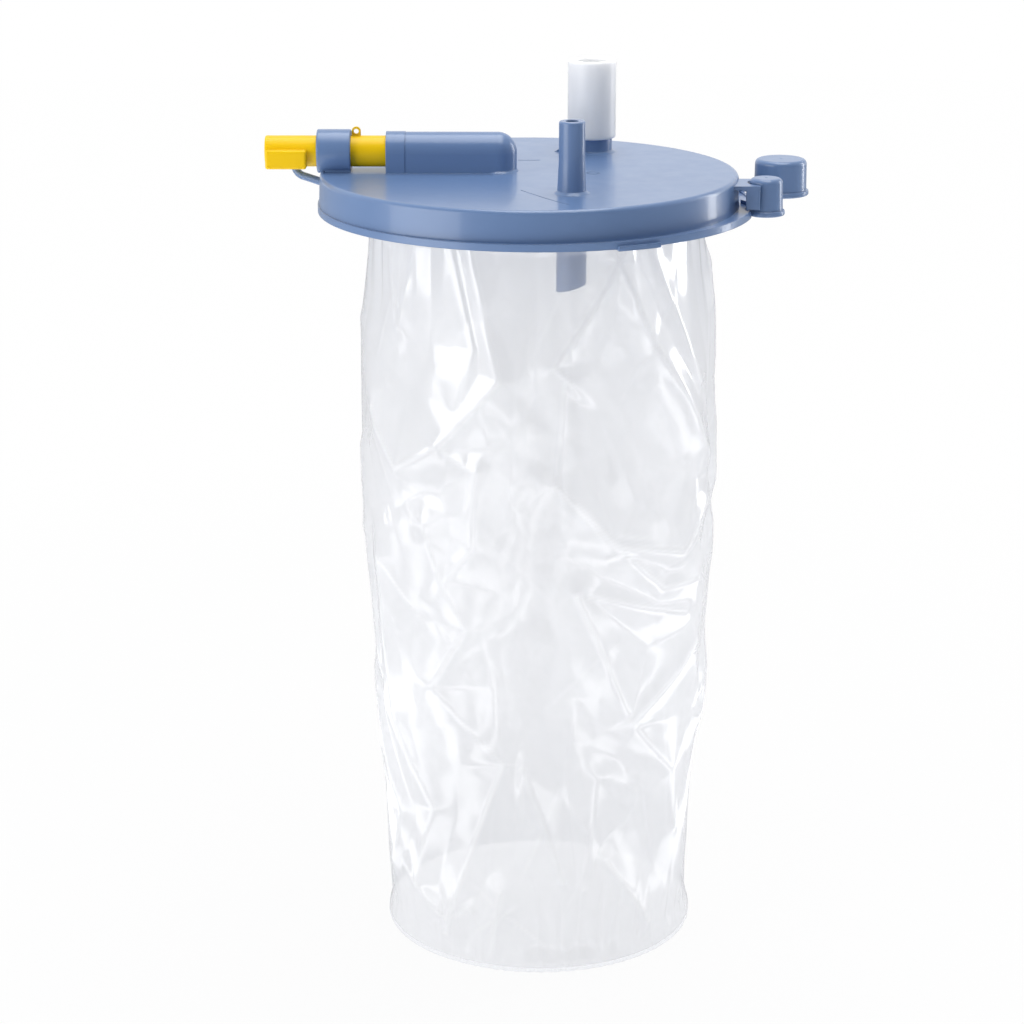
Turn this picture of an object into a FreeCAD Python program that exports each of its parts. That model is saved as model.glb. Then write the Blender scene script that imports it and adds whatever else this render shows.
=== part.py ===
import FreeCAD, Part
import math
import os
import random

V = FreeCAD.Vector
UP = V(0, 0, 1)
RIGHT = V(1, 0, 0)

# Disposable suction liner: a moulded lid over a clear film bag. Millimetres, +Z up.
# The origin is on the ground under the lid's flange axis, so the bag's bottom lies on z = 0.
# -Y is the side of the patient port, -X the side of the vacuum tube.

# Flange: most of what lies round the lid takes its place from this radius
flange_r = 82.5
flange_t = 2.2
flange_lip_w = 1.2
flange_lip_h = 0.5
bag_length = 290.0          # ground to the underside of the flange

# Lid
skirt_inset = 3.0           # the skirt is this much smaller than the flange
skirt_draft = 0.5           # how much smaller the skirt is at the top
skirt_shift = -2.6          # the skirt sits to the left on the flange
lid_h = 14.0                # flange underside to top face
lid_wall = 1.6
rim_round = 1.7
weld_rib_inset = 17.5       # flange edge to the outside of the weld rib
weld_rib_wall = 1.5
weld_rib_clear = 0.5        # the rib ends this far above the flange underside
finger_tab_from = -69.5     # degrees round the flange
finger_tab_to = -58.0
finger_tab_out = 1.6
finger_tab_t = 1.6
finger_tab_drop = 0.4

# Bag
film_t = 0.4                # film wall as modelled
bottom_inset = 4.0          # the bottom disc is this much smaller than the weld rib
bottom_rim_h = 4.0          # upturned weld rim of the bottom disc
film_gap = 0.1              # play between the film and what it is welded to
bag_lean = 2.0              # how far the bottom sits to the right of the lid
film_columns = 36
film_rows = 22
fold_depth = 3.0            # from the tallest ridges down to the flats between them
fold_fall = 9.0             # a ridge has fallen to about a third this far to its side
flats_vary = 0.8
crease_seed = 11
crease_reach = 4.8          # corners of the wall that lie this near a crease move onto it
corner_sideways = 0.22      # how far other corners move, in shares of a column and of a row
corner_upwards = 0.2
far_creases = 26
far_from = 78.0             # degrees from the middle of the near side
far_to = 282.0
far_step = (16.0, 36.0)     # a run of a far crease goes down by this much
far_swing = 16.0            # and to the side by up to this much
pleat_depth = 2.2           # gathers just under the lid
pleat_reach = 55.0          # how far down the gathers run
# How far the wall stands out from the weld rib at depths below the flange
wall_depths = (-8.0, 4.0, 33.0, 70.0, 110.0, 150.0, 200.0, 245.0, 286.0)
wall_swell = (1.4, 1.8, 3.8, 5.6, 5.6, 4.6, 1.3, -0.6, -1.8)
# Creases of the near side, placed by the photograph: how tall the ridge is, as a share of the
# fold depth, and its points as (x, depth below the flange)
near_creases = (
    (1.0, ((-24, 4), (-18, 35), (-14, 51), (-38, 78))),
    (0.8, ((-32, 5), (-24, 40), (-30, 63))),
    (0.7, ((-56, 8), (-53, 36), (-47, 5))),
    (0.9, ((-64, 71), (-54, 90), (-38, 78))),
    (0.7, ((-38, 78), (-24, 86), (-25, 116), (-37, 131))),
    (0.8, ((-63, 130), (-58, 192), (-42, 226), (-50, 262))),
    (0.8, ((-44, 110), (-37, 131), (-28, 148), (-41, 174), (-14, 202))),
    (0.9, ((33, 6), (7, 46), (13, 52))),
    (0.7, ((11, 50), (8, 90))),
    (0.9, ((30, 6), (45, 41), (67, 90))),
    (0.7, ((43, 6), (63, 60))),
    (1.0, ((7, 90), (30, 115), (56, 123), (66, 108))),
    (0.8, ((30, 115), (49, 136), (63, 138))),
    (0.9, ((15, 133), (25, 157), (35, 183))),
    (0.6, ((20, 134), (59, 150))),
    (1.0, ((37, 188), (62, 164))),
    (0.8, ((37, 188), (53, 214), (55, 240))),
    (0.8, ((-14, 202), (-31, 254), (-38, 278))),
    (0.7, ((-6, 203), (10, 251))),
    (0.6, ((24, 209), (18, 255))),
    (0.7, ((27, 244), (45, 276))),
    (0.8, ((-15, 257), (-20, 285))),
    (0.7, ((-54, 258), (-38, 272), (-28, 265))),
)

# Patient port with its dip tube
port_x = 13.0
port_y = -44.5
port_h = 26.2
port_r = 4.75
port_base_r = 5.35
port_straight = 14.0        # straight part at the top
port_edge = 0.55
port_bore_r = 2.4
port_foot_r = 6.6
port_foot_h = 1.0
dip_r = 5.5
dip_bore_r = 3.9
dip_below = 22.3            # longest side of the dip tube, below the flange
dip_bevel = 3.0

# Large spigot with its soft sleeve
spigot_x = 21.8
spigot_y = 45.0
spigot_r = 8.0
spigot_h = 5.6
spigot_foot_r = 9.6
spigot_foot_h = 0.9
nipple_r = 5.3
nipple_h = 14.0
nipple_edge = 0.6
spigot_bore_r = 3.7
gusset_l = 6.6
gusset_h = 3.4
gusset_t = 2.2
sleeve_r = 9.4
sleeve_h = 30.2
sleeve_mouth_r = 5.6        # bore above the nipple
sleeve_step = 0.4           # the mouth starts this far above the nipple
sleeve_play = 0.05
sleeve_edge = 0.7

# Collar, housing and vacuum tube, all on one axis along X, from the collar to the right
axis_y = 2.0
axis_above_lid = 7.3
collar_out = 1.0            # the collar's left end lies this far outside the skirt
collar_l = 12.8
collar_r = 8.2
collar_play = 0.3
collar_foot_w = 10.0
collar_foot_inset = 3.2     # the foot starts this far in from the collar's left end
collar_edge = 0.5
bare_tube = 13.3            # tube that shows between the collar and the housing
housing_r = 7.3
housing_mouth_r = 7.5
housing_mouth_l = 7.2
housing_l = 42.0            # mouth to the centre of the rounded end
housing_foot = 0.8
bore_past_nose = 1.5
tube_play = 0.05
passage_before_nose = 1.5
passage_r = 2.8
tube_r = 5.85
tube_bore_r = 4.3
tube_out = 19.6             # tube that stands out to the left of the collar
tube_short = 10.0           # the tube ends this far before the nose's centre
tube_edge = 0.6
tab_gap = 3.7               # between the tab and the collar
tab_inset = 0.4
tab_low = -5.7              # below the tube's axis
tab_high = 1.4
tab_out = 8.4               # in front of the tube's axis
tab_round = 0.9
eye_gap = 0.3               # between the collar and the eye
eye_w = 3.4
eye_h = 3.4
eye_t = 1.3
eye_hole_r = 0.95
eye_sink = 1.2
seal_inset = 2.1            # from the housing's mouth
seal_w = 2.4
seal_r = 6.85
seal_play = 0.03

# Strap loop beside the collar
strap_r = 1.5
strap_bend = 5.0
strap_sink = 1.0            # into the skirt and the collar
strap_out = 13.0            # how far the loop stands out from the skirt
strap_low_out = 8.9         # how far its lower bend stands out
strap_low_back = 4.5        # and how far behind the tube's axis that bend is

# Filter well under the housing
well_r = 14.4
well_wall = 1.4
well_h = 8.6
ledge_h = 1.2
ledge_w = 1.6
filter_t = 1.2
filter_play = 0.1
retainer_t = 1.8
retainer_hole_r = 2.3
retainer_ring_r = 7.4
retainer_ring_holes = 6

# Caps, clipped to the flange at the right. Angles are degrees round the flange.
cap_floor_clear = 0.3       # cap rim above the flange underside
cap_lip_h = 2.0
cap_lip_round = 0.6
cap_round = 1.8
cap_play = 0.05
cap_top_t = 1.3
small_cap_out = 4.5         # cap centre outside the flange edge
small_cap_angle = -9.06
small_cap_r = 6.5
small_cap_top_r = 6.1
small_cap_lip_r = 7.2
large_cap_out = 16.4
large_cap_angle = 16.44
large_cap_r = 10.15
large_cap_top_r = 9.95
large_cap_lip_r = 11.0
cap_h = 13.9
dimple_r = 0.9
dimple_depth = 0.25
tongue_w = 4.2
tongue_play = 0.4           # sideways, in the flange's raised lip
tongue_t = 1.4
tongue_lift = 0.1           # above the flange's top
peg_r = 1.0
peg_play = 0.08
peg_inset = 3.0             # peg centre inside the flange edge
small_peg_angle = -1.08
notch_play = 0.5            # round the small cap, in the flange and the shelf

# Bracket over the small cap, measured from the flange edge and the cap's centre
shelf_past = 0.7
shelf_root = 11.0           # starts inside the skirt, and is cut off at its wall
shelf_before = 8.5
shelf_behind = 7.7
shelf_below_top = 1.6
shelf_t = 1.5
plate_l = 5.2
plate_t = 1.3
plate_foot = 3.6            # above the flange underside
plate_edge = 0.5

# Cutters reach this far past the faces that they open, and joined pieces this far into each other
past = 1.0
sink = 0.01

# Places that follow
skirt_r = flange_r - skirt_inset
weld_rib_r = flange_r - weld_rib_inset
bottom_r = weld_rib_r - bottom_inset
flange_z = bag_length
flange_top = flange_z + flange_t
lid_top = flange_z + lid_h
lid_under = lid_top - lid_wall
axis_z = lid_top + axis_above_lid
skirt_left = skirt_shift - skirt_r + skirt_draft
collar_left = skirt_left - collar_out
collar_right = collar_left + collar_l
housing_left = collar_right + bare_tube
nose_x = housing_left + housing_l
passage_x = nose_x - passage_before_nose
tube_left = collar_left - tube_out
tube_right = nose_x - tube_short
seal_left = housing_left + seal_inset


def round_flange(radius, degrees):
    return radius * math.cos(math.radians(degrees)), radius * math.sin(math.radians(degrees))


small_cap_x, small_cap_y = round_flange(flange_r + small_cap_out, small_cap_angle)
large_cap_x, large_cap_y = round_flange(flange_r + large_cap_out, large_cap_angle)
small_peg = round_flange(flange_r - peg_inset, small_peg_angle)
large_peg = round_flange(flange_r - peg_inset, large_cap_angle)


def cylinder(r, h, x, y, z, way=UP):
    return Part.makeCylinder(r, h, V(x, y, z), way)


def cone(r_low, r_high, h, x, y, z):
    return Part.makeCone(r_low, r_high, h, V(x, y, z), UP)


def box(low, high):
    return Part.makeBox(high[0] - low[0], high[1] - low[1], high[2] - low[2], V(*low))


def along_x(r, left, right):
    return cylinder(r, right - left, left, axis_y, axis_z, RIGHT)


def join(first, rest):
    return first.multiFuse(rest).removeSplitter()


def edges_at(shape, z, r, x, y):
    # Full circles of radius r round (x, y) at height z.
    found = []
    for edge in shape.Edges:
        curve = edge.Curve
        if not isinstance(curve, Part.Circle) or abs(curve.Radius - r) > 1e-3:
            continue
        centre = curve.Center
        if abs(centre.z - z) < 1e-3 and math.hypot(centre.x - x, centre.y - y) < 1e-3:
            found.append(edge)
    return found


def lid_shell():
    top_r = skirt_r - skirt_draft
    skirt = cone(skirt_r, top_r, lid_h, skirt_shift, 0, flange_z)
    skirt = skirt.makeFillet(rim_round, edges_at(skirt, lid_top, top_r, skirt_shift, 0))
    lip_in = flange_r - flange_lip_w
    lip = cylinder(flange_r, flange_t + flange_lip_h, 0, 0, flange_z)
    lip = lip.cut(cylinder(lip_in, flange_lip_h, 0, 0, flange_top))
    cavity = cone(skirt_r - lid_wall, top_r - lid_wall, lid_under - flange_z, skirt_shift, 0, flange_z)
    rib_low = flange_z + weld_rib_clear
    rib_h = lid_under - rib_low + film_gap
    rib = cylinder(weld_rib_r, rib_h, 0, 0, rib_low)
    rib = rib.cut(cylinder(weld_rib_r - weld_rib_wall, rib_h, 0, 0, rib_low))
    shell = join(skirt, [lip, finger_tab()]).cut(cavity)
    return join(shell, [rib])


def finger_tab():
    outer = flange_r + finger_tab_out
    inner = flange_r - flange_lip_w
    sweep = finger_tab_to - finger_tab_from
    low = flange_z - finger_tab_drop
    tab = Part.makeCylinder(outer, finger_tab_t, V(0, 0, low), UP, sweep)
    tab = tab.cut(cylinder(inner, finger_tab_t, 0, 0, low))
    tab.rotate(V(0, 0, 0), UP, finger_tab_from)
    return tab


def patient_port():
    top = lid_top + port_h
    taper_h = port_h - port_straight
    parts = [
        cone(port_base_r, port_r, taper_h, port_x, port_y, lid_top),
        cone(port_foot_r, port_base_r - sink, port_foot_h, port_x, port_y, lid_top - sink),
    ]
    neck = cylinder(port_r, port_straight, port_x, port_y, lid_top + taper_h)
    parts.append(neck.makeFillet(port_edge, edges_at(neck, top, port_r, port_x, port_y)))
    dip_low = flange_z - dip_below
    parts.append(cylinder(dip_r, lid_under - dip_low + lid_wall / 2, port_x, port_y, dip_low))
    return parts


def patient_port_cuts():
    top = lid_top + port_h
    dip_low = flange_z - dip_below
    bore = cylinder(port_bore_r, port_h + lid_h, port_x, port_y, top - port_h - lid_h)
    wide = cylinder(dip_bore_r, lid_under - dip_low, port_x, port_y, dip_low)
    left, right = port_x - dip_r, port_x + dip_r
    near = port_y - dip_r - past
    wedge = Part.Face(Part.makePolygon([
        V(left, near, dip_low),
        V(right, near, dip_low - past),
        V(right, near, dip_low + dip_bevel),
        V(left, near, dip_low),
    ])).extrude(V(0, 2 * (dip_r + past), 0))
    return [bore, wide, wedge]


def large_spigot():
    shoulder = lid_top + spigot_h
    nipple = cylinder(nipple_r, nipple_h, spigot_x, spigot_y, shoulder)
    tip_edges = edges_at(nipple, shoulder + nipple_h, nipple_r, spigot_x, spigot_y)
    nipple = nipple.makeChamfer(nipple_edge, tip_edges)
    tip = spigot_x - spigot_r - gusset_l
    back = spigot_x - spigot_r / 2
    near = spigot_y - gusset_t / 2
    low = lid_top - lid_wall / 2
    gusset = Part.Face(Part.makePolygon([
        V(tip, near, low),
        V(back, near, low),
        V(back, near, lid_top + gusset_h),
        V(spigot_x - spigot_r, near, lid_top + gusset_h),
        V(tip, near, lid_top),
        V(tip, near, low),
    ])).extrude(V(0, gusset_t, 0))
    return [
        cylinder(spigot_r, shoulder - low, spigot_x, spigot_y, low),
        cone(spigot_foot_r, spigot_r - sink, spigot_foot_h, spigot_x, spigot_y, lid_top - sink),
        nipple,
        gusset,
    ]


def spigot_bore():
    height = lid_h + spigot_h + nipple_h
    return cylinder(spigot_bore_r, height, spigot_x, spigot_y, flange_z)


def vacuum_housing():
    low = lid_top - lid_wall / 2
    side = housing_r
    foot = housing_r + housing_foot
    mouth_right = housing_left + housing_mouth_l
    return [
        along_x(housing_r, housing_left, nose_x),
        along_x(housing_mouth_r, housing_left, mouth_right),
        box((housing_left, axis_y - side, low), (nose_x, axis_y + side, axis_z)),
        box((housing_left, axis_y - housing_mouth_r, low),
            (mouth_right, axis_y + housing_mouth_r, axis_z)),
        cylinder(side, axis_z - low, nose_x, axis_y, low),
        Part.makeSphere(side, V(nose_x, axis_y, axis_z)),
        cone(foot, side - sink, housing_foot, nose_x, axis_y, lid_top - sink),
    ]


def collar():
    foot = box((collar_left + collar_foot_inset, axis_y - collar_foot_w / 2, lid_top - lid_wall / 2),
               (collar_right, axis_y + collar_foot_w / 2, axis_z))
    ring = along_x(collar_r, collar_left, collar_right)
    ends = [e for e in ring.Edges if isinstance(e.Curve, Part.Circle)]
    ring = ring.makeFillet(collar_edge, ends)
    return [ring, foot]


def axis_cuts():
    seal = along_x(seal_r + seal_play, seal_left, seal_left + seal_w)
    passage_h = axis_z - lid_under + past
    return [
        along_x(tube_r + tube_play, housing_left - past, nose_x + bore_past_nose),
        along_x(tube_r + collar_play, collar_left - past, collar_right + past),
        seal,
        cylinder(passage_r, passage_h, passage_x, axis_y, lid_under - past),
    ]


def rounded_path(points, bend):
    # Straight runs joined by tangent arcs of one radius.
    edges = []
    start = points[0]
    for before, corner, after in zip(points, points[1:], points[2:]):
        to_before = (before - corner).normalize()
        to_after = (after - corner).normalize()
        half = to_before.getAngle(to_after) / 2
        setback = bend / math.tan(half)
        enter = corner + to_before * setback
        leave = corner + to_after * setback
        middle_way = (to_before + to_after).normalize()
        centre = corner + middle_way * (bend / math.sin(half))
        edges.append(Part.LineSegment(start, enter).toShape())
        edges.append(Part.Arc(enter, centre - middle_way * bend, leave).toShape())
        start = leave
    edges.append(Part.LineSegment(start, points[-1]).toShape())
    return Part.Wire(edges)


def strap_loop():
    # From the skirt's left side, out and up behind the tube, and back to the collar's far side.
    far = axis_y + collar_r + strap_r - strap_sink
    route = [
        V(skirt_left + strap_sink, axis_y + strap_r, lid_under - strap_bend + lid_wall),
        V(skirt_left - strap_low_out, axis_y + strap_low_back, lid_under - strap_r / 2),
        V(skirt_left - strap_out, far, axis_z - strap_r / 2),
        V(collar_left + strap_r + strap_sink, far, axis_z + strap_r),
    ]
    wire = rounded_path(route, strap_bend)
    start = route[0]
    profile = Part.Wire(Part.Circle(start, (route[1] - start).normalize(), strap_r).toShape())
    return wire.makePipeShell([profile], True, True)


def filter_well():
    low = lid_under - well_h
    inner = well_r - well_wall
    ring = cylinder(well_r, well_h + film_gap, passage_x, axis_y, low)
    ring = ring.cut(cylinder(inner, well_h + film_gap, passage_x, axis_y, low))
    ledge_z = lid_under - ledge_h
    ledge = cylinder(inner + well_wall / 2, ledge_h, passage_x, axis_y, ledge_z)
    ledge = ledge.cut(cylinder(inner - ledge_w, ledge_h, passage_x, axis_y, ledge_z))
    return [ring, ledge]


def cap_shelf():
    top = lid_top - shelf_below_top
    low = top - shelf_t
    right = flange_r + shelf_past
    near, behind = small_cap_y - shelf_before, small_cap_y + shelf_behind
    shelf = box((flange_r - shelf_root, near, low), (right, behind, top))
    plate = box((right - plate_l, near, flange_z + plate_foot),
                (right, near + plate_t, low + shelf_t / 2))
    corner = [e for e in plate.Edges if abs(e.BoundBox.YMax - near) < 1e-6
              and abs(e.BoundBox.XMin - right) < 1e-6]
    plate = plate.makeFillet(plate_edge, corner)
    inside = cylinder(skirt_r - lid_wall, lid_h, skirt_shift, 0, flange_z)
    room = cylinder(small_cap_r + notch_play, lid_h, small_cap_x, small_cap_y, flange_z)
    return shelf.fuse(plate).cut(inside).cut(room)


def tongue_bar(cap_x, cap_y, peg, play, low, high):
    # A bar from the cap's axis to its peg, with a round end there.
    dx, dy = peg[0] - cap_x, peg[1] - cap_y
    half = tongue_w / 2 + play
    bar = box((0, -half, low), (math.hypot(dx, dy), half, high))
    bar.rotate(V(0, 0, 0), UP, math.degrees(math.atan2(dy, dx)))
    bar.translate(V(cap_x, cap_y, 0))
    return bar.fuse(cylinder(half, high - low, peg[0], peg[1], low))


def flange_cuts():
    through = flange_t + 2 * past
    cuts = [cylinder(small_cap_lip_r + notch_play, through, small_cap_x, small_cap_y, flange_z - past)]
    for cap_x, cap_y, peg in ((small_cap_x, small_cap_y, small_peg),
                              (large_cap_x, large_cap_y, large_peg)):
        cuts.append(tongue_bar(cap_x, cap_y, peg, tongue_play, flange_top, flange_top + past))
        cuts.append(cylinder(peg_r + peg_play, through, peg[0], peg[1], flange_z - past))
    return cuts


def make_lid():
    lid = lid_shell()
    for additions in (patient_port(), large_spigot(), vacuum_housing(), collar(), filter_well(),
                      [strap_loop()], [cap_shelf()]):
        lid = join(lid, additions)
    for cut in patient_port_cuts() + [spigot_bore()] + axis_cuts() + flange_cuts():
        lid = lid.cut(cut)
    return lid


def make_vacuum_tube():
    tube = along_x(tube_r, tube_left, tube_right)
    ends = [e for e in tube.Edges if isinstance(e.Curve, Part.Circle)]
    tube = tube.makeFillet(tube_edge, ends)
    tab = box((tube_left + tab_inset, axis_y - tab_out, axis_z + tab_low),
              (collar_left - tab_gap, axis_y - tube_bore_r / 2, axis_z + tab_high))
    tab = tab.makeFillet(tab_round, [e for e in tab.Edges if e.BoundBox.YMin < axis_y - tab_out + sink])
    eye_left = collar_right + eye_gap
    eye_x = eye_left + eye_w / 2
    eye_low = axis_z + tube_r - eye_sink
    eye_mid = axis_z + tube_r + eye_h - eye_w / 2
    front = axis_y - eye_t / 2
    eye = box((eye_left, front, eye_low), (eye_left + eye_w, front + eye_t, eye_mid))
    back = V(0, 1, 0)
    eye = eye.fuse(cylinder(eye_w / 2, eye_t, eye_x, front, eye_mid, back))
    eye = eye.cut(cylinder(eye_hole_r, eye_t, eye_x, front, eye_mid, back))
    tube = join(tube, [tab, eye])
    return tube.cut(along_x(tube_bore_r, tube_left - past, tube_right + past))


def make_tube_seal():
    ring = along_x(seal_r, seal_left + seal_play, seal_left + seal_w - seal_play)
    ring = ring.cut(along_x(tube_r + tube_play, seal_left, seal_left + seal_w))
    return ring


def make_port_sleeve():
    low = lid_top + spigot_h + sleeve_play
    sleeve = cylinder(sleeve_r, sleeve_h, spigot_x, spigot_y, low)
    mouth_low = lid_top + spigot_h + nipple_h + sleeve_step
    sleeve = sleeve.cut(cylinder(nipple_r + sleeve_play, sleeve_h, spigot_x, spigot_y, low))
    sleeve = sleeve.cut(cylinder(sleeve_mouth_r, sleeve_h, spigot_x, spigot_y, mouth_low))
    rims = edges_at(sleeve, low + sleeve_h, sleeve_r, spigot_x, spigot_y)
    rims += edges_at(sleeve, low + sleeve_h, sleeve_mouth_r, spigot_x, spigot_y)
    rims += edges_at(sleeve, low, sleeve_r, spigot_x, spigot_y)
    return sleeve.makeFillet(sleeve_edge, rims)


def make_cap(x, y, r, top_r, lip_r, inner_r, peg):
    low = flange_z + cap_floor_clear
    body = cone(r, top_r, cap_h, x, y, low)
    body = body.makeFillet(cap_round, edges_at(body, low + cap_h, top_r, x, y))
    lip = cylinder(lip_r, cap_lip_h, x, y, low)
    rims = edges_at(lip, low, lip_r, x, y) + edges_at(lip, low + cap_lip_h, lip_r, x, y)
    lip = lip.makeFillet(cap_lip_round, rims)
    tongue_low = flange_top + tongue_lift
    tongue = tongue_bar(x, y, peg, 0, tongue_low, tongue_low + tongue_t)
    peg_low = flange_z + cap_floor_clear
    pin = cylinder(peg_r, tongue_low + tongue_t / 2 - peg_low, peg[0], peg[1], peg_low)
    cap = join(body, [lip, tongue, pin])
    cap = cap.cut(cylinder(inner_r, cap_h - cap_top_t, x, y, low))
    dimple = Part.makeSphere(dimple_r, V(x, y, low + cap_h + dimple_r - dimple_depth))
    return cap.cut(dimple)


def make_filter_disc():
    r = well_r - well_wall - filter_play
    return cylinder(r, filter_t, passage_x, axis_y, lid_under - ledge_h - filter_t)


def make_filter_retainer():
    r = well_r - well_wall - filter_play
    low = lid_under - ledge_h - filter_t - filter_play - retainer_t
    grid = cylinder(r, retainer_t, passage_x, axis_y, low)
    grid = grid.cut(cylinder(retainer_hole_r, retainer_t, passage_x, axis_y, low))
    for number in range(retainer_ring_holes):
        angle = 2 * math.pi * number / retainer_ring_holes
        hole_x = passage_x + retainer_ring_r * math.cos(angle)
        hole_y = axis_y + retainer_ring_r * math.sin(angle)
        grid = grid.cut(cylinder(retainer_hole_r, retainer_t, hole_x, hole_y, low))
    return grid


def wall_radius(depth):
    # Straight between the listed depths.
    for d0, d1, s0, s1 in zip(wall_depths, wall_depths[1:], wall_swell, wall_swell[1:]):
        if depth <= d1:
            return weld_rib_r + s0 + (s1 - s0) * (depth - d0) / (d1 - d0)
    return weld_rib_r + wall_swell[-1]


def lean_at(z):
    # The bag's centre moves to the right towards its bottom.
    return bag_lean * (1 - z / bag_length)


def crease_runs():
    # All creases as straight runs on the unrolled wall: (share, start, end). A point there is
    # (length round the weld rib from the middle of the near side, depth).
    lines = []
    for share, points in near_creases:
        flat = []
        for x, depth in points:
            turn = math.asin(max(-1.0, min(1.0, x / wall_radius(depth))))
            flat.append((turn * weld_rib_r, depth))
        lines.append((share, flat))
    chance = random.Random(crease_seed)
    for number in range(far_creases):
        turn = far_from + (far_to - far_from) * (number + chance.random()) / far_creases
        along = math.radians(turn) * weld_rib_r
        depth = chance.uniform(0, 0.75 * bag_length)
        flat = [(along, depth)]
        for _ in range(3):
            along += chance.uniform(-far_swing, far_swing)
            depth += chance.uniform(*far_step)
            flat.append((along, depth))
        lines.append((chance.uniform(0.6, 1.0), flat))
    return [(share, a, b) for share, flat in lines for a, b in zip(flat, flat[1:])]


def crease_at(runs, along, depth):
    # How tall the creases are at a point, as a share, and the nearest point on one with its distance.
    loop = 2 * math.pi * weld_rib_r
    tallest, nearest = 0.0, (loop, along, depth)
    for share, (a0, d0), (a1, d1) in runs:
        da = (along - a0 + loop / 2) % loop - loop / 2
        dd = depth - d0
        run_a, run_d = a1 - a0, d1 - d0
        t = max(0.0, min(1.0, (da * run_a + dd * run_d) / (run_a ** 2 + run_d ** 2)))
        away = math.hypot(da - t * run_a, dd - t * run_d)
        tallest = max(tallest, share * math.exp(-away / fold_fall))
        nearest = min(nearest, (away, along - da + t * run_a, d0 + t * run_d))
    return tallest, nearest


def wall_points():
    # Rows of (centre x, turn, radius, height) round the wall, from the bottom up, creased like film.
    chance = random.Random(crease_seed)
    runs = crease_runs()
    top = lid_under - film_gap
    flat_share = math.cos(math.pi / film_columns)
    rows = []
    for row in range(film_rows + 1):
        z = top * row / film_rows
        if row == 1:
            z = bottom_rim_h
        if row == film_rows - 1:
            z = flange_z
        ring = []
        for column in range(film_columns):
            turn = (column + (row % 2) / 2) / film_columns * 2 * math.pi
            if row <= 1 or row >= film_rows - 1:
                seam = (bottom_r if row <= 1 else weld_rib_r) + film_gap
                ring.append((bag_lean if row <= 1 else 0.0, turn, (seam + film_t) / flat_share, z))
                continue
            depth = flange_z - z
            _, (away, near_along, near_depth) = crease_at(runs, turn * weld_rib_r, depth)
            if away < crease_reach and bottom_rim_h < flange_z - near_depth < flange_z:
                turn, depth = near_along / weld_rib_r, near_depth
            else:
                turn += chance.uniform(-corner_sideways, corner_sideways) * 2 * math.pi / film_columns
                depth += chance.uniform(-corner_upwards, corner_upwards) * top / film_rows
            tall = crease_at(runs, turn * weld_rib_r, depth)[0]
            pleat = pleat_depth * max(0.0, 1 - depth / pleat_reach) * (column % 2)
            r = wall_radius(depth) - pleat
            r -= (fold_depth + flats_vary * chance.random()) * (1 - tall)
            ring.append((lean_at(flange_z - depth), turn, r, flange_z - depth))
        rows.append(ring)
    return rows


def wall_rings(inset):
    # The wall's corners at a depth of inset below its outer face. A turn of 0 is the near side.
    flat_share = math.cos(math.pi / film_columns)
    rings = []
    for row, ring in enumerate(wall_points()):
        plain = row <= 1 or row >= film_rows - 1
        step = inset / flat_share if plain else inset
        rings.append([V(x + (r - step) * math.sin(turn), -(r - step) * math.cos(turn), z)
                      for x, turn, r, z in ring])
    return rings


def band(low, high, odd, flip):
    # Triangles between two rows of points that stand half a column apart.
    faces = []
    count = len(low)
    for i in range(count):
        j = (i + 1) % count
        if odd:
            corners = [(low[i], low[j], high[j]), (low[i], high[j], high[i])]
        else:
            corners = [(low[i], low[j], high[i]), (low[j], high[j], high[i])]
        for a, b, c in corners:
            points = [a, c, b, a] if flip else [a, b, c, a]
            faces.append(Part.Face(Part.makePolygon(points)))
    return faces


def make_bag_wall():
    outer = wall_rings(0.0)
    inner = wall_rings(film_t)
    faces = []
    for row in range(film_rows):
        faces += band(outer[row], outer[row + 1], row % 2 == 1, False)
        faces += band(inner[row], inner[row + 1], row % 2 == 1, True)
    for row, flip in ((0, True), (film_rows, False)):
        for i in range(film_columns):
            j = (i + 1) % film_columns
            quad = [outer[row][i], outer[row][j], inner[row][j], inner[row][i], outer[row][i]]
            if flip:
                quad.reverse()
            faces.append(Part.Face(Part.makePolygon(quad)))
    return Part.makeSolid(Part.makeShell(faces))


def make_bag_bottom():
    dish = cylinder(bottom_r, bottom_rim_h, bag_lean, 0, 0)
    return dish.cut(cylinder(bottom_r - film_t, bottom_rim_h, bag_lean, 0, film_t))


PIECES = {
    "lid": make_lid(),
    "bag_wall": make_bag_wall(),
    "bag_bottom": make_bag_bottom(),
    "vacuum_tube": make_vacuum_tube(),
    "tube_seal": make_tube_seal(),
    "port_sleeve": make_port_sleeve(),
    "small_cap": make_cap(small_cap_x, small_cap_y, small_cap_r, small_cap_top_r, small_cap_lip_r,
                          port_r + cap_play, small_peg),
    "large_cap": make_cap(large_cap_x, large_cap_y, large_cap_r, large_cap_top_r, large_cap_lip_r,
                          sleeve_r + cap_play, large_peg),
    "filter_disc": make_filter_disc(),
    "filter_retainer": make_filter_retainer(),
}

os.makedirs("parts", exist_ok=True)
for name, shape in PIECES.items():
    shape.exportStep(f"parts/{name}.step")
    size = shape.BoundBox
    print(f"{name}: valid {shape.isValid()}, solids {len(shape.Solids)}, faces {len(shape.Faces)}, "
          f"volume {shape.Volume:.0f}, z {size.ZMin:.2f} to {size.ZMax:.2f}")
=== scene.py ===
import math
import random

import bmesh
import bpy
import numpy as np
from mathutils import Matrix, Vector
from mathutils.bvhtree import BVHTree
from mathutils.geometry import delaunay_2d_cdt


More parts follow.
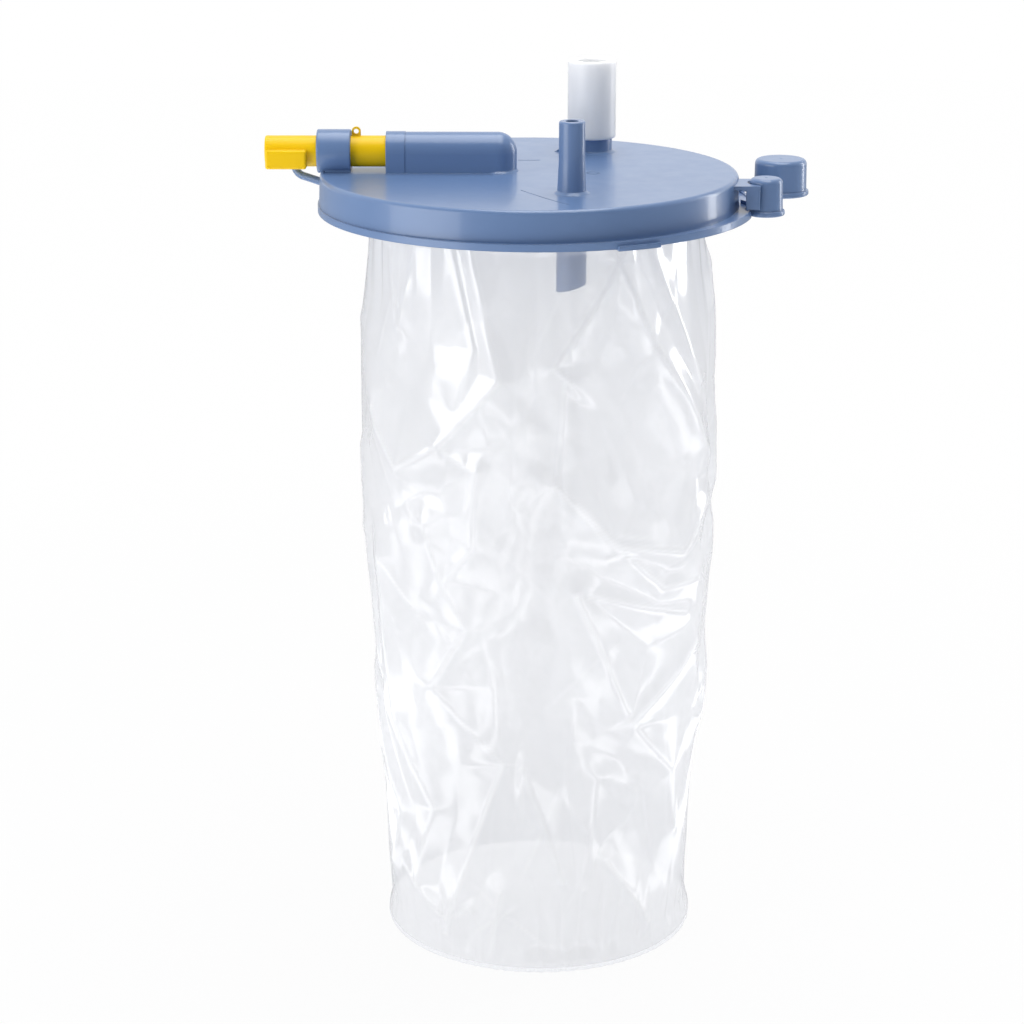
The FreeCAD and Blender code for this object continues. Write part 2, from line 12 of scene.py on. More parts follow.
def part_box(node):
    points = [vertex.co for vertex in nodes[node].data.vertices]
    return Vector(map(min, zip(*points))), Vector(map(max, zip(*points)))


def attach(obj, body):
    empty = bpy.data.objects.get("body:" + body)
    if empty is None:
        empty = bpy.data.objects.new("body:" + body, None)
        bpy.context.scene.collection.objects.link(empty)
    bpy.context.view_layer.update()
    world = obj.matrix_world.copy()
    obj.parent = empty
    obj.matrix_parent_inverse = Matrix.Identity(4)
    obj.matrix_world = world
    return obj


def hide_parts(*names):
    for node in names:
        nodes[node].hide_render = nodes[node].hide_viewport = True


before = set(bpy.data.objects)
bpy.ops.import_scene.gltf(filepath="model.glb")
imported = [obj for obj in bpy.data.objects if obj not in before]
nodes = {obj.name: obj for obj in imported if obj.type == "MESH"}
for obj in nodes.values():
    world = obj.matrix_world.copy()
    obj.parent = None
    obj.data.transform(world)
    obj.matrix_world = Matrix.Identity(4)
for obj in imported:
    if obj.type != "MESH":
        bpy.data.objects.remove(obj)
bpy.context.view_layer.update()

# A disposable suction liner: blue moulded lid, clear creased film bag, yellow vacuum tube.
# Sizes are in millimetres and become metres when a mesh is made.
MM = 0.001

# Heights and places that the frame gives
FLANGE_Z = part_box("small_cap")[0].z / MM - 0.3
LID_TOP = FLANGE_Z + 14.0
SKIRT_X = -2.6

# Camera, solved from the ellipses of the flange, the lid's top edge and the bag's bottom
CAMERA_PLACE = (0.0, -1.0383, 0.4892)
CAMERA_TILT = 72.876
CAMERA_TURN = 0.499
CAMERA_LENS = 97.4

# Light bars on the table: place along x, width, watts
TABLE_BARS = (
    (-0.70, 0.12, 0.78), (-0.45, 0.07, 0.50), (-0.27, 0.05, 0.33), (-0.17, 0.03, 0.22), (-0.105, 0.02, 0.14),
    (0.105, 0.02, 0.14), (0.17, 0.03, 0.25), (0.27, 0.05, 0.46), (0.50, 0.08, 0.74),
)

# Film bag. The creases and the profile are those of the part's source.
FILM_COLUMNS = 380
FILM_ROWS = 258
FILM_TOP = FLANGE_Z + 11.0
SEAM_Z = 2.4
SEAM_R = 61.0
BAG_LENGTH = 290.0
BAG_LEAN = 2.0
WELD_RIB_R = 65.0
LOOP = 2 * math.pi * WELD_RIB_R
FOLD_DEPTH = 3.0
FOLD_FALL = 9.0
RIDGE_R = 1.3
CREASE_SEED = 11
FAR_CREASES = 26
FAR_FROM, FAR_TO = 78.0, 282.0
FAR_STEP = (16.0, 36.0)
FAR_SWING = 16.0
FINE_SEED = 23
# Small creases between the large ones: how many, how long, how tall, and how fast they fall off
SMALL_CREASES = 95
SMALL_LENGTH = (20.0, 62.0)
SMALL_HEIGHT = (0.2, 0.8)
SMALL_FALL = 6.0
WALL_DEPTHS = (-8.0, 4.0, 33.0, 70.0, 110.0, 150.0, 200.0, 245.0, 286.0)
WALL_SWELL = (1.4, 1.8, 3.8, 5.6, 5.6, 4.6, 1.3, -0.6, -1.8)
# Creases of the near side, placed by the photograph: how tall the ridge is, as a share of the
# fold depth, and its points as (x, depth below the flange)
NEAR_CREASES = (
    (1.0, ((-24, 4), (-18, 35), (-14, 51), (-38, 78))),
    (0.8, ((-32, 5), (-24, 40), (-30, 63))),
    (0.7, ((-56, 8), (-53, 36), (-47, 5))),
    (0.9, ((-64, 71), (-54, 90), (-38, 78))),
    (0.7, ((-38, 78), (-24, 86), (-25, 116), (-37, 131))),
    (0.8, ((-63, 130), (-58, 192), (-42, 226), (-50, 262))),
    (0.8, ((-44, 110), (-37, 131), (-28, 148), (-41, 174), (-14, 202))),
    (0.9, ((33, 6), (7, 46), (13, 52))),
    (0.7, ((11, 50), (8, 90))),
    (0.9, ((30, 6), (45, 41), (67, 90))),
    (0.7, ((43, 6), (63, 60))),
    (1.0, ((7, 90), (30, 115), (56, 123), (66, 108))),
    (0.8, ((30, 115), (49, 136), (63, 138))),
    (0.9, ((15, 133), (25, 157), (35, 183))),
    (0.6, ((20, 134), (59, 150))),
    (1.0, ((37, 188), (62, 164))),
    (0.8, ((37, 188), (53, 214), (55, 240))),
    (0.8, ((-14, 202), (-31, 254), (-38, 278))),
    (0.7, ((-6, 203), (10, 251))),
    (0.6, ((24, 209), (18, 255))),
    (0.7, ((27, 244), (45, 276))),
    (0.8, ((-15, 257), (-20, 285))),
    (0.7, ((-54, 258), (-38, 272), (-28, 265))),
)


def link(name, mesh):
    obj = bpy.data.objects.new(name, mesh)
    bpy.context.scene.collection.objects.link(obj)
    return obj


def smooth(mesh):
    for polygon in mesh.polygons:
        polygon.use_smooth = True


# Camera, floor and light

def make_camera():
    data = bpy.data.cameras.new("camera")
    data.lens = CAMERA_LENS
    data.sensor_width = 36.0
    camera = bpy.data.objects.new("camera", data)
    camera.location = CAMERA_PLACE
    camera.rotation_euler = (math.radians(CAMERA_TILT), 0, math.radians(CAMERA_TURN))
    bpy.context.scene.collection.objects.link(camera)
    bpy.context.scene.camera = camera


def area_light(name, place, aim, width, height, watts):
    data = bpy.data.lights.new(name, "AREA")
    data.shape = "RECTANGLE"
    data.size, data.size_y = width, height
    data.energy = watts
    lamp = bpy.data.objects.new(name, data)
    lamp.location = place
    lamp.visible_camera = False
    lamp.rotation_euler = (Vector(aim) - Vector(place)).to_track_quat("-Z", "Y").to_euler()
    bpy.context.scene.collection.objects.link(lamp)


def make_light():
    # A large soft box left of the camera, a narrow one behind on the right, a strip overhead.
    area_light("left_box", (-1.15, -0.75, 0.47), (0, 0, 0.24), 1.10, 1.00, 11.5)
    area_light("right_strip", (1.00, 0.46, 0.42), (0, 0, 0.24), 0.18, 0.80, 3.4)
    area_light("top_strip", (0.10, 0.02, 1.25), (0, 0, 0.30), 1.10, 0.60, 8.5)
    # Light bars lying on the table out of the picture, which the film's folds catch
    for number, (x, width, watts) in enumerate(TABLE_BARS):
        area_light(f"table_bar_{number}", (x, -0.50, 0.004), (x, -0.50, 1.0), width, 1.40, watts)


def make_world():
    # White to the eye, to light that has passed the film, and behind the bag to reflections.
    # The room itself is soft light: dim in front of the bag, bright behind it.
    world = bpy.data.worlds.new("studio")
    bpy.context.scene.world = world
    world.use_nodes = True
    tree = world.node_tree
    tree.nodes.clear()
    out = tree.nodes.new("ShaderNodeOutputWorld")
    plain = tree.nodes.new("ShaderNodeBackground")
    plain.inputs["Color"].default_value = (1, 1, 1, 1)
    room = tree.nodes.new("ShaderNodeBackground")
    room.inputs["Color"].default_value = (0.97, 0.98, 1.0, 1)
    way = tree.nodes.new("ShaderNodeTexCoord")
    parts = tree.nodes.new("ShaderNodeSeparateXYZ")
    behind = tree.nodes.new("ShaderNodeMapRange")
    behind.inputs["From Min"].default_value = -0.6
    behind.inputs["From Max"].default_value = 0.8
    level = tree.nodes.new("ShaderNodeMath")
    level.operation = "MULTIPLY_ADD"
    level.inputs[1].default_value = 0.55
    level.inputs[2].default_value = 0.22
    tree.links.new(way.outputs["Generated"], parts.inputs[0])
    tree.links.new(parts.outputs["Y"], behind.inputs["Value"])
    tree.links.new(behind.outputs["Result"], level.inputs[0])
    tree.links.new(level.outputs[0], room.inputs["Strength"])
    path = tree.nodes.new("ShaderNodeLightPath")
    seen = tree.nodes.new("ShaderNodeMath")
    seen.operation = "MAXIMUM"
    mirrored = tree.nodes.new("ShaderNodeMath")
    mirrored.operation = "MULTIPLY"
    either = tree.nodes.new("ShaderNodeMath")
    either.operation = "MAXIMUM"
    mix = tree.nodes.new("ShaderNodeMixShader")
    tree.links.new(path.outputs["Is Camera Ray"], seen.inputs[0])
    tree.links.new(path.outputs["Is Transmission Ray"], seen.inputs[1])
    tree.links.new(path.outputs["Is Glossy Ray"], mirrored.inputs[0])
    tree.links.new(behind.outputs["Result"], mirrored.inputs[1])
    tree.links.new(seen.outputs[0], either.inputs[0])
    tree.links.new(mirrored.outputs[0], either.inputs[1])
    tree.links.new(either.outputs[0], mix.inputs[0])
    tree.links.new(room.outputs[0], mix.inputs[1])
    tree.links.new(plain.outputs[0], mix.inputs[2])
    tree.links.new(mix.outputs[0], out.inputs["Surface"])


def make_floor():
    # A pale round floor that fades into the white background, and keeps the shadow near the bag.
    mesh = bpy.data.meshes.new("floor")
    shape = bmesh.new()
    bmesh.ops.create_circle(shape, cap_ends=True, segments=96, radius=2.4)
    shape.to_mesh(mesh)
    shape.free()
    floor = link("floor", mesh)
    floor.location.z = -0.0004
    material = bpy.data.materials.new("floor")
    material.use_nodes = True
    tree = material.node_tree
    tree.nodes.clear()
    out = tree.nodes.new("ShaderNodeOutputMaterial")
    matte = tree.nodes.new("ShaderNodeBsdfDiffuse")
    matte.inputs["Color"].default_value = (0.78, 0.78, 0.785, 1)
    white = tree.nodes.new("ShaderNodeEmission")
    white.inputs["Color"].default_value = (1, 1, 1, 1)
    white.inputs["Strength"].default_value = 1.0
    path = tree.nodes.new("ShaderNodeLightPath")
    eye = tree.nodes.new("ShaderNodeMath")
    eye.operation = "MAXIMUM"
    place = tree.nodes.new("ShaderNodeTexCoord")
    far = tree.nodes.new("ShaderNodeVectorMath")
    far.operation = "LENGTH"
    fade = tree.nodes.new("ShaderNodeMapRange")
    fade.inputs["From Min"].default_value = 0.12
    fade.inputs["From Max"].default_value = 0.7
    fade.inputs["To Min"].default_value = 0.93
    fade.inputs["To Max"].default_value = 0.996
    tree.links.new(place.outputs["Object"], far.inputs[0])
    tree.links.new(far.outputs["Value"], fade.inputs["Value"])
    share = tree.nodes.new("ShaderNodeMath")
    share.operation = "MULTIPLY"
    tree.links.new(fade.outputs["Result"], share.inputs[1])
    mix = tree.nodes.new("ShaderNodeMixShader")
    tree.links.new(path.outputs["Is Camera Ray"], eye.inputs[0])
    tree.links.new(path.outputs["Is Transmission Ray"], eye.inputs[1])
    tree.links.new(eye.outputs[0], share.inputs[0])
    tree.links.new(share.outputs[0], mix.inputs[0])
    tree.links.new(matte.outputs[0], mix.inputs[1])
    tree.links.new(white.outputs[0], mix.inputs[2])
    tree.links.new(mix.outputs[0], out.inputs["Surface"])
    mesh.materials.append(material)


# Materials

def new_material(name):
    material = bpy.data.materials.new(name)
    material.use_nodes = True
    tree = material.node_tree
    return material, tree, tree.nodes["Principled BSDF"]


def noise(tree, scale, detail=3.0, rough=0.55):
    place = tree.nodes.new("ShaderNodeTexCoord")
    texture = tree.nodes.new("ShaderNodeTexNoise")
    texture.inputs["Scale"].default_value = scale
    texture.inputs["Detail"].default_value = detail
    texture.inputs["Roughness"].default_value = rough
    tree.links.new(place.outputs["Object"], texture.inputs["Vector"])
    return texture


def ramp(tree, source, low, high, at=(0.3, 0.7)):
    node = tree.nodes.new("ShaderNodeValToRGB")
    node.color_ramp.elements[0].position = at[0]
    node.color_ramp.elements[0].color = (*low, 1)
    node.color_ramp.elements[1].position = at[1]
    node.color_ramp.elements[1].color = (*high, 1)
    tree.links.new(source, node.inputs[0])
    return node.outputs["Color"]


def spread(tree, source, low, high):
    node = tree.nodes.new("ShaderNodeMapRange")
    node.inputs["From Min"].default_value = 0.3
    node.inputs["From Max"].default_value = 0.7
    node.inputs["To Min"].default_value = low
    node.inputs["To Max"].default_value = high
    tree.links.new(source, node.inputs["Value"])
    return node.outputs["Result"]


def soft_edges(tree, radius, height_source=None, strength=0.1, distance=0.0002):
    # Rounded moulded edges, with fine relief on top where a height is given.
    bevel = tree.nodes.new("ShaderNodeBevel")
    bevel.samples = 4
    bevel.inputs["Radius"].default_value = radius
    if height_source is None:
        return bevel.outputs[0]
    bump = tree.nodes.new("ShaderNodeBump")
    bump.inputs["Strength"].default_value = strength
    bump.inputs["Distance"].default_value = distance
    tree.links.new(height_source, bump.inputs["Height"])
    tree.links.new(bevel.outputs[0], bump.inputs["Normal"])
    return bump.outputs[0]


def moulded_plastic(name, low, high, rough, coat=0.0, glow=0.0, shine=0.5, edge=0.0003, peel=0.05):
    # A moulded polyolefin: slight flow clouds in its colour, a fine orange-peel skin.
    material, tree, shader = new_material(name)
    clouds = noise(tree, 26.0)
    skin = noise(tree, 900.0, 2.0)
    tree.links.new(ramp(tree, clouds.outputs[0], low, high), shader.inputs["Base Color"])
    tree.links.new(spread(tree, noise(tree, 140.0).outputs[0], *rough), shader.inputs["Roughness"])
    shader.inputs["Specular IOR Level"].default_value = shine
    shader.inputs["Coat Weight"].default_value = coat
    shader.inputs["Coat Roughness"].default_value = 0.08
    if glow:
        shader.inputs["Subsurface Weight"].default_value = glow
        shader.inputs["Subsurface Scale"].default_value = 0.006
        shader.inputs["Subsurface Radius"].default_value = (1.0, 1.0, 1.0)
    tree.links.new(soft_edges(tree, edge, skin.outputs[0], peel, 0.00003), shader.inputs["Normal"])
    return material


def film_material(name, clearness, milk, gloss, steep_shine):
    # Clear film: it lets the view through slightly greyed, whitens at its creases, and shines.
    material, tree, shader = new_material(name)
    tree.nodes.remove(shader)
    out = tree.nodes["Material Output"]
    clear = tree.nodes.new("ShaderNodeBsdfTransparent")
    clear.inputs["Color"].default_value = (clearness - 0.01, clearness - 0.005, clearness + 0.01, 1)
    front_haze = tree.nodes.new("ShaderNodeBsdfDiffuse")
    front_haze.inputs["Color"].default_value = (0.93, 0.935, 0.95, 1)
    through_haze = tree.nodes.new("ShaderNodeBsdfTranslucent")
    through_haze.inputs["Color"].default_value = (0.93, 0.935, 0.95, 1)
    haze = tree.nodes.new("ShaderNodeMixShader")
    haze.inputs[0].default_value = 0.5
    tree.links.new(front_haze.outputs[0], haze.inputs[1])
    tree.links.new(through_haze.outputs[0], haze.inputs[2])
    shine = tree.nodes.new("ShaderNodeBsdfGlossy")
    shine.inputs["Roughness"].default_value = 0.11
    wrinkle = noise(tree, 95.0, 3.0, 0.55)
    wrinkle.inputs["Distortion"].default_value = 1.2
    bump = tree.nodes.new("ShaderNodeBump")
    bump.inputs["Strength"].default_value = 0.04
    bump.inputs["Distance"].default_value = 0.0006
    tree.links.new(wrinkle.outputs[0], bump.inputs["Height"])
    tree.links.new(bump.outputs[0], shine.inputs["Normal"])
    rim = tree.nodes.new("ShaderNodeLayerWeight")
    rim.inputs["Blend"].default_value = 0.25
    crease = tree.nodes.new("ShaderNodeAttribute")
    crease.attribute_name = "crease"
    amount = tree.nodes.new("ShaderNodeMath")
    amount.operation = "MULTIPLY_ADD"
    amount.inputs[1].default_value = 0.22
    amount.inputs[2].default_value = milk
    tree.links.new(crease.outputs["Fac"], amount.inputs[0])
    edge = tree.nodes.new("ShaderNodeMath")
    edge.operation = "MULTIPLY_ADD"
    edge.inputs[1].default_value = 0.10
    edge.use_clamp = True
    tree.links.new(rim.outputs["Facing"], edge.inputs[0])
    tree.links.new(amount.outputs[0], edge.inputs[2])
    body = tree.nodes.new("ShaderNodeMixShader")
    tree.links.new(edge.outputs[0], body.inputs[0])
    tree.links.new(clear.outputs[0], body.inputs[1])
    tree.links.new(haze.outputs[0], body.inputs[2])
    steep = tree.nodes.new("ShaderNodeLayerWeight")
    steep.inputs["Blend"].default_value = 0.5
    tree.links.new(bump.outputs[0], steep.inputs["Normal"])
    fifth = tree.nodes.new("ShaderNodeMath")
    fifth.operation = "POWER"
    fifth.inputs[1].default_value = 5.0
    mirror = tree.nodes.new("ShaderNodeMath")
    mirror.operation = "MULTIPLY_ADD"
    mirror.inputs[1].default_value = steep_shine
    mirror.inputs[2].default_value = gloss
    tree.links.new(steep.outputs["Facing"], fifth.inputs[0])
    tree.links.new(fifth.outputs[0], mirror.inputs[0])
    skin = tree.nodes.new("ShaderNodeMixShader")
    tree.links.new(mirror.outputs[0], skin.inputs[0])
    tree.links.new(body.outputs[0], skin.inputs[1])
    tree.links.new(shine.outputs[0], skin.inputs[2])
    tree.links.new(skin.outputs[0], out.inputs["Surface"])
    return material


# The film bag

def wall_radius(depth):
    # The source's profile with its corners smoothed.
    steps = [np.interp(depth + step, WALL_DEPTHS, WALL_SWELL) for step in range(-20, 21, 4)]
    return WELD_RIB_R + sum(steps) / len(steps)


def crease_runs():
    # All creases as straight runs on the unrolled wall: (share, start, end). A point there is
    # (length round the weld rib from the middle of the near side, depth).
    lines = []
    for share, points in NEAR_CREASES:
        flat = []
        for x, depth in points:
            turn = math.asin(max(-1.0, min(1.0, x / wall_radius(depth))))
            flat.append((turn * WELD_RIB_R, depth))
        lines.append((share, flat))
    chance = random.Random(CREASE_SEED)
    for number in range(FAR_CREASES):
        turn = FAR_FROM + (FAR_TO - FAR_FROM) * (number + chance.random()) / FAR_CREASES
        along = math.radians(turn) * WELD_RIB_R
        depth = chance.uniform(0, 0.75 * BAG_LENGTH)
        flat = [(along, depth)]
        for _ in range(3):
            along += chance.uniform(-FAR_SWING, FAR_SWING)
            depth += chance.uniform(*FAR_STEP)
            flat.append((along, depth))
        lines.append((chance.uniform(0.6, 1.0), flat))
    return [(share, a, b) for share, flat in lines for a, b in zip(flat, flat[1:])]


def crease_field(along, depth):
    # How tall the creases are at each point, as a share, how near the next one is, and how much
    # the film is whitened there.
    tallest = np.zeros_like(along)
    nearest = np.full_like(along, LOOP)
    white = np.zeros_like(along)
    for share, start, end in crease_runs():
        away = run_distance(along, depth, start, end)[0]
        rounded = np.sqrt(away ** 2 + RIDGE_R ** 2) - RIDGE_R
        tallest = np.maximum(tallest, share * np.exp(-rounded / FOLD_FALL))
        nearest = np.minimum(nearest, away)
        white = np.maximum(white, share * np.exp(-((away / 1.3) ** 2)))
    return tallest, nearest, white


def run_distance(along, depth, start, end):
    # How far each point of the unrolled wall is from a straight run.
    da = (along - start[0] + LOOP / 2) % LOOP - LOOP / 2
    dd = depth - start[1]
    run_a, run_d = end[0] - start[0], end[1] - start[1]
    t = np.clip((da * run_a + dd * run_d) / (run_a ** 2 + run_d ** 2), 0, 1)
    return np.hypot(da - t * run_a, dd - t * run_d), t


def small_creases(chance, along, depth):
    # Short sharp creases, most of them steep, fading out at both ends; ridges and valleys.
    relief = np.zeros_like(along)
    white = np.zeros_like(along)
    for _ in range(SMALL_CREASES):
        start = (chance.uniform(0, LOOP), chance.uniform(2, BAG_LENGTH - 25))
        length = chance.uniform(*SMALL_LENGTH)
        slant = chance.gauss(0, 0.75)
        end = (start[0] + length * math.sin(slant), start[1] + length * math.cos(slant))
        height = chance.uniform(*SMALL_HEIGHT) * chance.choice((1, 1, -1))
        away, t = run_distance(along, depth, start, end)
        rounded = np.sqrt(away ** 2 + RIDGE_R ** 2) - RIDGE_R
        ends = np.sin(np.pi * np.clip(t, 0.03, 0.97))
        relief += height * np.exp(-rounded / SMALL_FALL) * ends
        white = np.maximum(white, 0.5 * abs(height) * ends * np.exp(-((away / 1.0) ** 2)))
    return relief, white


def facet_field(chance, along, depth, across, down):
    # Random heights from 0 to 1 on scattered points of the unrolled wall, straight between them,
    # so that the film falls into flat facets. It closes on itself round the bag.
    columns = max(3, round(LOOP / across))
    rows = max(3, round(330.0 / down))
    points, heights = [], []
    for row in range(-1, rows + 2):
        for column in range(columns):
            u = (column + 0.5 * (row % 2) + chance.uniform(-0.42, 0.42)) * LOOP / columns
            v = -20.0 + (row + chance.uniform(-0.42, 0.42)) * 330.0 / rows
            height = chance.random()
            for turn in (-1, 0, 1):
                points.append(Vector((u + turn * LOOP, v)))
                heights.append(height)
    corners, _, faces, origin, _, _ = delaunay_2d_cdt(points, [], [], 0, 1e-4)
    solid = [Vector((c.x, c.y, heights[origin[i][0]])) for i, c in enumerate(corners)]
    tree = BVHTree.FromPolygons(solid, faces)
    down_ray = Vector((0, 0, -1))
    flat = np.zeros(along.size)
    for i, (u, v) in enumerate(zip(along.ravel(), depth.ravel())):
        hit = tree.ray_cast(Vector((u, v, 50.0)), down_ray)[0]
        flat[i] = hit.z if hit is not None else 0.0
    return flat.reshape(along.shape)


def film_rows():
    # The wall's points, row by row from the lid to the seam, and their relief.
    chance = random.Random(FINE_SEED)
    depths = np.linspace(FLANGE_Z - FILM_TOP, FLANGE_Z - SEAM_Z, FILM_ROWS)
    even = np.arange(FILM_COLUMNS) / FILM_COLUMNS * 2 * math.pi
    turns = even - 0.4 * np.sin(even)
    turn, depth = np.meshgrid(turns, depths)
    along = turn * WELD_RIB_R
    tall, nearest, white = crease_field(along, depth)
    small, small_white = small_creases(chance, along, depth)
    coarse = facet_field(chance, along, depth, 34.0, 52.0)
    middle = facet_field(chance, along, depth, 15.0, 23.0)
    crushed = np.exp(-nearest / 14.0)
    relief = -FOLD_DEPTH * (1 - tall) - 2.0 * coarse * (1 - tall) + small
    relief -= (0.3 + 1.2 * crushed) * middle
    # Gathers where the film is welded to the lid
    pleats = 34
    number = turns / (2 * math.pi) * pleats
    pleat = number.astype(int) % pleats
    lean = np.array([chance.uniform(-0.8, 0.8) for _ in range(pleats)])[pleat]
    deep = np.array([chance.uniform(0.2, 1.5) for _ in range(pleats)])[pleat]
    reach = np.array([chance.uniform(18.0, 75.0) for _ in range(pleats)])[pleat]
    below = np.clip(depth, 0, None)
    wave = 0.5 - 0.5 * np.cos((number + lean * below / 60.0) % 1.0 * 2 * math.pi)
    relief -= deep * wave * np.clip(1 - below / reach, 0, 1) ** 1.5
    # Short tucks that run up from the bottom weld
    height = np.clip(FLANGE_Z - SEAM_Z - depth, 0, None)
    tucks = 46
    number = turns / (2 * math.pi) * tucks
    tuck = number.astype(int) % tucks
    lean = np.array([chance.uniform(-0.9, 0.9) for _ in range(tucks)])[tuck]
    deep = np.array([chance.uniform(0.0, 1.3) for _ in range(tucks)])[tuck]
    reach = np.array([chance.uniform(14.0, 48.0) for _ in range(tucks)])[tuck]
    wave = 0.5 - 0.5 * np.cos((number + lean * height / 30.0) % 1.0 * 2 * math.pi)
    relief -= deep * wave * np.clip(1 - height / reach, 0, 1) ** 1.3
    # Puckers above the bottom weld
    near_seam = np.clip((FLANGE_Z - SEAM_Z - depth) / 10.0, 0, 1)
    pucker = np.abs((turn / (2 * math.pi) * 95 + 0.4 * np.sin(turn * 31)) % 1.0 - 0.5) * 2
    uneven = 0.5 + 0.5 * np.sin(turn * 7 + 2 * np.sin(turn * 3))
    relief *= np.clip((depth + 9.0) / 14.0, 0.05, 1)
    radius = np.maximum(wall_radius(depth) + relief, np.where(depth < 1, WELD_RIB_R + 0.2, 0))
    seam = SEAM_R - 0.35 * uneven * pucker
    blend = near_seam * near_seam * (3 - 2 * near_seam)
    radius = seam + (radius - seam) * blend
    rows = np.zeros((FILM_ROWS, FILM_COLUMNS, 3))
    rows[..., 0] = BAG_LEAN * np.clip(depth / BAG_LENGTH, 0, 1) + radius * np.sin(turn)
    rows[..., 1] = -radius * np.cos(turn)
    rows[..., 2] = FLANGE_Z - depth
    whitened = 0.6 * np.maximum(white, small_white) * blend + 0.7 * np.exp(-below / 24.0)
    return rows, whitened


def grid_mesh(name, rows, values, close):
    count, columns = rows.shape[:2]
    points = (rows.reshape(-1, 3) * MM).tolist()
    faces = []
    for i in range(count - 1):
        for j in range(columns):
            k = (j + 1) % columns
            faces.append((i * columns + k, i * columns + j, (i + 1) * columns + j, (i + 1) * columns + k))
    shades = list(values.reshape(-1))
    if close:
        points.append((rows[-1, :, 0].mean() * MM, rows[-1, :, 1].mean() * MM, rows[-1, :, 2].mean() * MM))
        shades.append(0.0)
        last = (count - 1) * columns
        for j in range(columns):
            faces.append((last + (j + 1) % columns, last + j, len(points) - 1))
    mesh = bpy.data.meshes.new(name)
    mesh.from_pydata(points, [], faces)
    attribute = mesh.attributes.new("crease", "FLOAT", "POINT")
    attribute.data.foreach_set("value", np.array(shades, dtype=np.float32))
    smooth(mesh)
    return mesh


def make_film():
    rows, shades = film_rows()
    wall = link("film_wall", grid_mesh("film_wall", rows, shades, False))
    wall.data.materials.append(film_material("film_wall", 0.955, 0.29, 0.095, 0.5))
    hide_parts("bag_wall")
    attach(wall, "liner")
    make_film_bottom(rows[-1])


def make_film_bottom(rim):
    # The round bottom: the wall's edge, the flat double weld, and a disc with radial puckers.
    chance = random.Random(FINE_SEED + 1)
    profile = [
        (0.0, SEAM_Z, 0.4), (0.2, 1.5, 0.7), (0.0, 0.7, 0.6), (-0.8, 0.35, 0.4), (-1.9, 0.7, 0.5),
        (-2.8, 0.5, 0.3), (-3.8, 0.95, 0.6), (-5.2, 1.5, 0.3), (-8.0, 2.0, 0.15), (-13.0, 2.4, 0.1),
        (-20.0, 2.6, 0.05), (-32.0, 2.4, 0.05), (-46.0, 2.2, 0.0),
    ]
    tall = [chance.uniform(-1, 1) for _ in range(FILM_COLUMNS)]
    rows = np.zeros((len(profile), FILM_COLUMNS, 3))
    shades = np.zeros((len(profile), FILM_COLUMNS))
    for i, (step, z, shade) in enumerate(profile):
        for j in range(FILM_COLUMNS):
            dx, dy = rim[j][0] - BAG_LEAN, rim[j][1]
            angle = math.atan2(dy, dx)
            r = math.hypot(dx, dy) + step
            pucker = 0.22 * math.sin(angle * 75 + 2 * math.sin(angle * 7)) + 0.12 * tall[j]
            lift = pucker * (1.0 if 3 < i < 9 else 0.35 if i > 0 else 0.0)
            rows[i, j] = (BAG_LEAN + r * math.cos(angle), r * math.sin(angle), max(0.05, z + lift))
            # Whitening of the weld, strongest on the near side and only a tenth at the back: partly the weld's
            # own haze, partly a painted highlight for the glints along the front seam.
            near_side_painted_glint = max(0.0, -math.sin(angle))
            shades[i, j] = shade * (0.1 + 0.9 * near_side_painted_glint) * (0.6 + 0.4 * abs(tall[j]))
    rows[0] = rim
    bottom = link("film_bottom", grid_mesh("film_bottom", rows, shades, True))
    bottom.data.materials.append(film_material("film_bottom", 0.99, 0.0, 0.01, 0.15))
    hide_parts("bag_bottom")
    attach(bottom, "liner")


# Small moulding details on the lid

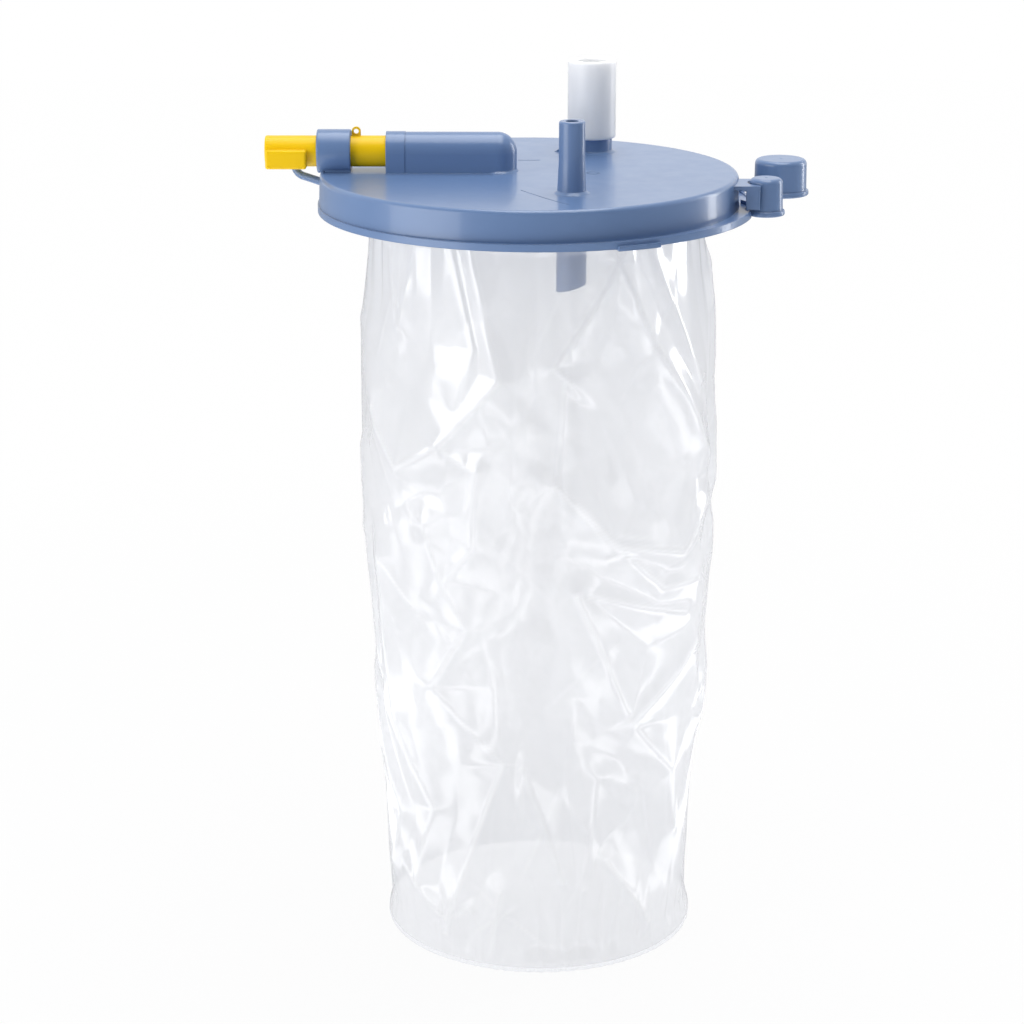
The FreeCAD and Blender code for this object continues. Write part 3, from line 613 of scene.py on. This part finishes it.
def ribbon(name, points, width, height, material, body="liner"):
    # A low rib on the lid's top along a line of (x, y) points.
    shape = bmesh.new()
    rings = []
    for i, (x, y) in enumerate(points):
        x0, y0 = points[max(i - 1, 0)]
        x1, y1 = points[min(i + 1, len(points) - 1)]
        along = Vector((x1 - x0, y1 - y0, 0)).normalized()
        side = Vector((-along.y, along.x, 0)) * width / 2
        middle = Vector((x, y, LID_TOP - 0.02))
        up = Vector((0, 0, height))
        ring = [middle - side, middle - side * 0.5 + up, middle + side * 0.5 + up, middle + side]
        rings.append([shape.verts.new(p * MM) for p in ring])
    for a, b in zip(rings, rings[1:]):
        for i in range(3):
            shape.faces.new((a[i], a[i + 1], b[i + 1], b[i]))
        shape.faces.new((a[3], a[0], b[0], b[3]))
    shape.faces.new(rings[0])
    shape.faces.new(tuple(reversed(rings[-1])))
    bmesh.ops.recalc_face_normals(shape, faces=shape.faces)
    mesh = bpy.data.meshes.new(name)
    shape.to_mesh(mesh)
    shape.free()
    piece = link(name, mesh)
    mesh.materials.append(material)
    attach(piece, body)
    return piece


def arc_points(x, y, radius, start, end, count):
    found = []
    for i in range(count):
        angle = math.radians(start + (end - start) * i / (count - 1))
        found.append((x + radius * math.cos(angle), y + radius * math.sin(angle)))
    return found


def make_lid_marks(material):
    ribbon("lid_line_back", [(-7.0, 24.4), (1.6, 24.4)], 0.6, 0.12, material)
    bow = [(-5.4, -38.8), (-1.5, -46.0), (3.2, -54.0), (8.0, -61.6), (12.0, -67.6)]
    ribbon("lid_line_front", bow, 0.6, 0.12, material)
    ribbon("lid_gate_ring", arc_points(21.5, -3.6, 2.4, 0, 340, 22), 0.45, 0.14, material)


def dress_nodes():
    blue = moulded_plastic("lid_blue", (0.124, 0.208, 0.392), (0.130, 0.217, 0.404), (0.285, 0.33), 0.26, 0.0, 0.5, 0.0006)
    yellow = moulded_plastic("tube_yellow", (0.88, 0.55, 0.001), (0.92, 0.59, 0.002), (0.29, 0.36), 0.0, 0.0, 0.3)
    white = moulded_plastic("sleeve_white", (0.92, 0.935, 0.95), (0.94, 0.95, 0.965), (0.3, 0.4), 0.0, 0.9)
    grey = moulded_plastic("seal_grey", (0.10, 0.10, 0.11), (0.13, 0.13, 0.14), (0.5, 0.6))
    felt = moulded_plastic("filter_white", (0.80, 0.80, 0.77), (0.87, 0.87, 0.85), (0.6, 0.75))
    for name, material in (
        ("lid", blue), ("small_cap", blue), ("large_cap", blue), ("vacuum_tube", yellow),
        ("port_sleeve", white), ("tube_seal", grey), ("filter_disc", felt), ("filter_retainer", felt),
    ):
        mesh = nodes[name].data
        mesh.materials.clear()
        mesh.materials.append(material)
    return blue


bpy.context.scene.view_settings.view_transform = "Standard"
make_camera()
make_world()
make_light()
make_floor()
blue_plastic = dress_nodes()
make_lid_marks(blue_plastic)
make_film()
